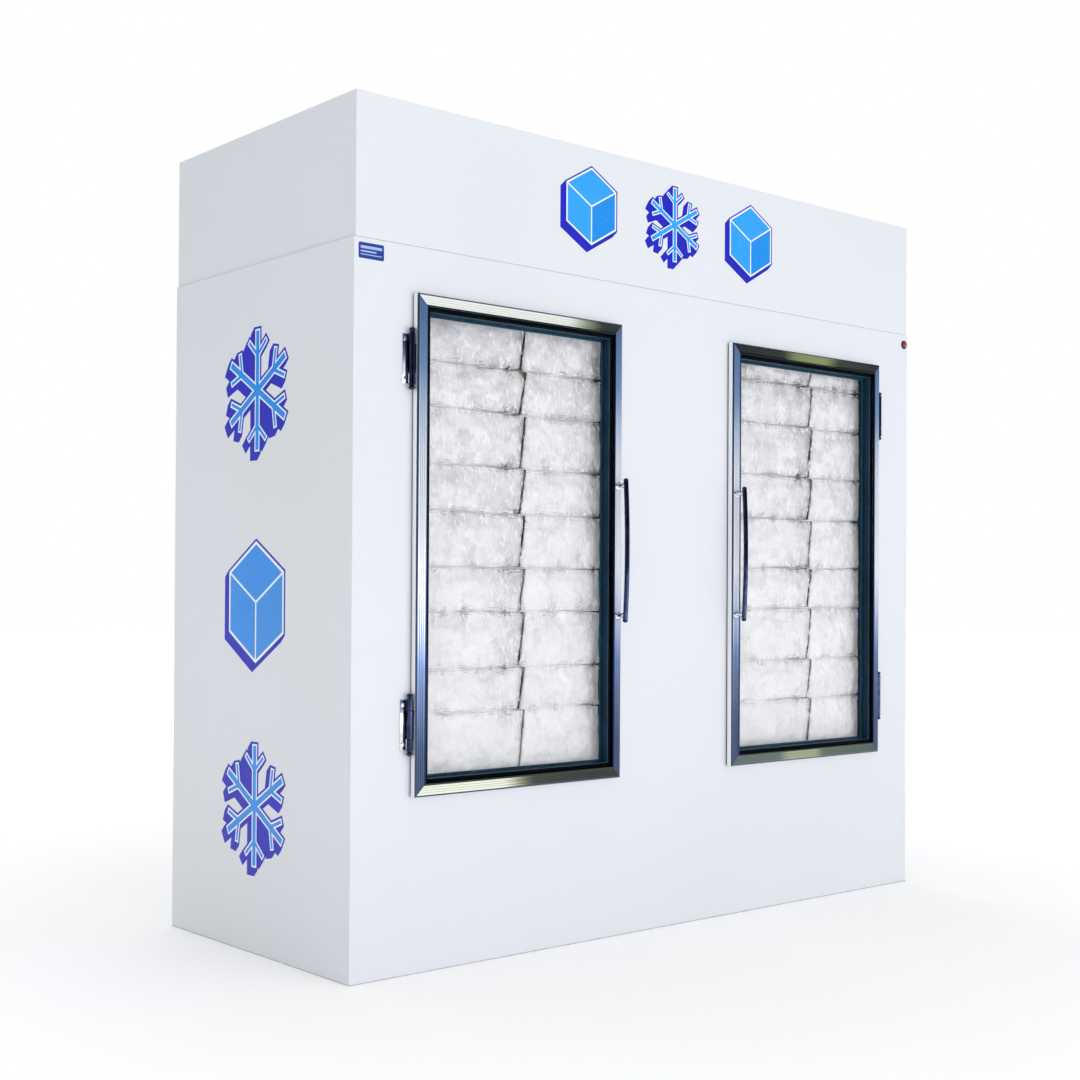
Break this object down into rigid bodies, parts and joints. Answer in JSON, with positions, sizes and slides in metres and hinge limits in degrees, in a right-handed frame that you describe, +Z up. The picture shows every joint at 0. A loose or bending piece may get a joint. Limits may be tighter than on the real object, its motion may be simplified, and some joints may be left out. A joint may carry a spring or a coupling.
{
  "type": "ice merchandiser",
  "caption": "Free-standing insulated white steel cabinet with hinged glass doors in metal frames, bagged ice behind them and refrigeration under a hood on top.",
  "frame": {"origin": "centre of the cabinet's footprint on the floor", "axes": "+X to the right seen from the front, the doors face -Y, +Z up"},
  "size_m": [2.0368, 0.9275, 2.007],
  "materials": {
    "painted_steel": "satin white powder coat on steel sheet",
    "galvanised": "galvanised steel",
    "liner_sheet": "stucco aluminium sheet",
    "foam": "polyurethane foam",
    "anodised_aluminium": "bright anodised extrusion",
    "dark_plastic": "dark moulded plastic",
    "glazing": "clear sealed glass pack",
    "gasket": "magnetic gasket",
    "chrome": "polished chrome",
    "zinc_screw": "zinc plated",
    "black_enamel": "black enamel",
    "copper": "drawn copper tube",
    "coil_fins": "aluminium fins on copper tube",
    "motor_steel": "plated steel",
    "fan_blade": "pressed aluminium",
    "black_plastic": "moulded black plastic",
    "white_plastic": "diffusing plastic",
    "grommet": "moulded rubber",
    "lamp_red": "red lens",
    "ice_bag": "clear film bag filled with ice",
    "vinyl": "printed vinyl"
  },
  "bodies": {
    "cabinet": {"bagged_ice": "ice_bag", "base_pan": "galvanised", "compressor": "black_enamel", "compressor_grommets": "grommet", "condenser_coil": "coil_fins", "condenser_shroud": "galvanised", "condensing_tray": "galvanised", "control_box": "galvanised", "cord_gland": "black_plastic", "deck_panel": "galvanised", "door_jambs": "dark_plastic", "drain_tube": "copper", "drip_tray": "liner_sheet", "evaporator_coil": "coil_fins", "evaporator_housing": "liner_sheet", "fan_motors": "motor_steel", "floor_rack": "galvanised", "front_panel": "painted_steel", "header_panel": "painted_steel", "hinge_brackets": "chrome", "hinge_pins": "chrome", "hood_base_frame": "galvanised", "hood_rear_grille": "painted_steel", "hood_sides": "painted_steel", "hood_top": "painted_steel", "insulation_foam": "foam", "liner_ceiling": "liner_sheet", "liner_floor": "liner_sheet", "liner_front": "liner_sheet", "liner_walls": "liner_sheet", "liquid_receiver": "black_enamel", "pilot_lamp_bezel": "dark_plastic", "pilot_lamp_lens": "lamp_red", "rear_panel": "painted_steel", "refrigerant_lines": "copper", "screws": "zinc_screw", "side_panels": "painted_steel", "store_light": "white_plastic", "vinyl_decals": "vinyl"},
    "left_door": {"left_door_stiles": "anodised_aluminium", "left_door_rails": "anodised_aluminium", "left_door_glass": "glazing", "left_door_spacer": "dark_plastic", "left_door_bead": "dark_plastic", "left_door_gasket": "gasket", "left_door_handle": "chrome", "left_hinge_leaves": "chrome"},
    "right_door": {"right_door_stiles": "anodised_aluminium", "right_door_rails": "anodised_aluminium", "right_door_glass": "glazing", "right_door_spacer": "dark_plastic", "right_door_bead": "dark_plastic", "right_door_gasket": "gasket", "right_door_handle": "chrome", "right_hinge_leaves": "chrome"},
    "condenser_fan": {"condenser_fan": "fan_blade"},
    "left_evaporator_fan": {"left_evaporator_fan": "fan_blade"},
    "right_evaporator_fan": {"right_evaporator_fan": "fan_blade"},
    "thermostat_knob": {"thermostat_knob": "black_plastic"},
    "power_switch": {"switch_rocker": "black_plastic"}
  },
  "joints": [
    {"name": "left_door_hinge", "type": "hinge", "parent": "cabinet", "child": "left_door", "pos_m": [-0.865, -0.427, 0.995], "axis": [0, 0, -1], "range_deg": [0, 110], "stiffness_Nm_per_rad": 1.2, "springref_deg": -34.38},
    {"name": "right_door_hinge", "type": "hinge", "parent": "cabinet", "child": "right_door", "pos_m": [0.865, -0.427, 0.995], "axis": [0, 0, 1], "range_deg": [0, 110], "stiffness_Nm_per_rad": 1.2, "springref_deg": -34.38},
    {"name": "condenser_fan_spin", "type": "hinge", "parent": "cabinet", "child": "condenser_fan", "pos_m": [0.714, 0.174, 1.803], "axis": [0, 1, 0], "continuous": true},
    {"name": "left_evaporator_fan_spin", "type": "hinge", "parent": "cabinet", "child": "left_evaporator_fan", "pos_m": [-0.31, 0.03, 1.483], "axis": [0, 1, 0], "continuous": true},
    {"name": "right_evaporator_fan_spin", "type": "hinge", "parent": "cabinet", "child": "right_evaporator_fan", "pos_m": [0.31, 0.03, 1.483], "axis": [0, 1, 0], "continuous": true},
    {"name": "thermostat_turn", "type": "hinge", "parent": "cabinet", "child": "thermostat_knob", "pos_m": [-0.488, -0.3735, 1.761], "axis": [0, -1, 0], "range_deg": [0, 270]},
    {"name": "power_switch_rock", "type": "hinge", "parent": "cabinet", "child": "power_switch", "pos_m": [-0.3968, -0.373, 1.761], "axis": [-1, 0, 0], "range_deg": [0, 14]}
  ]
}
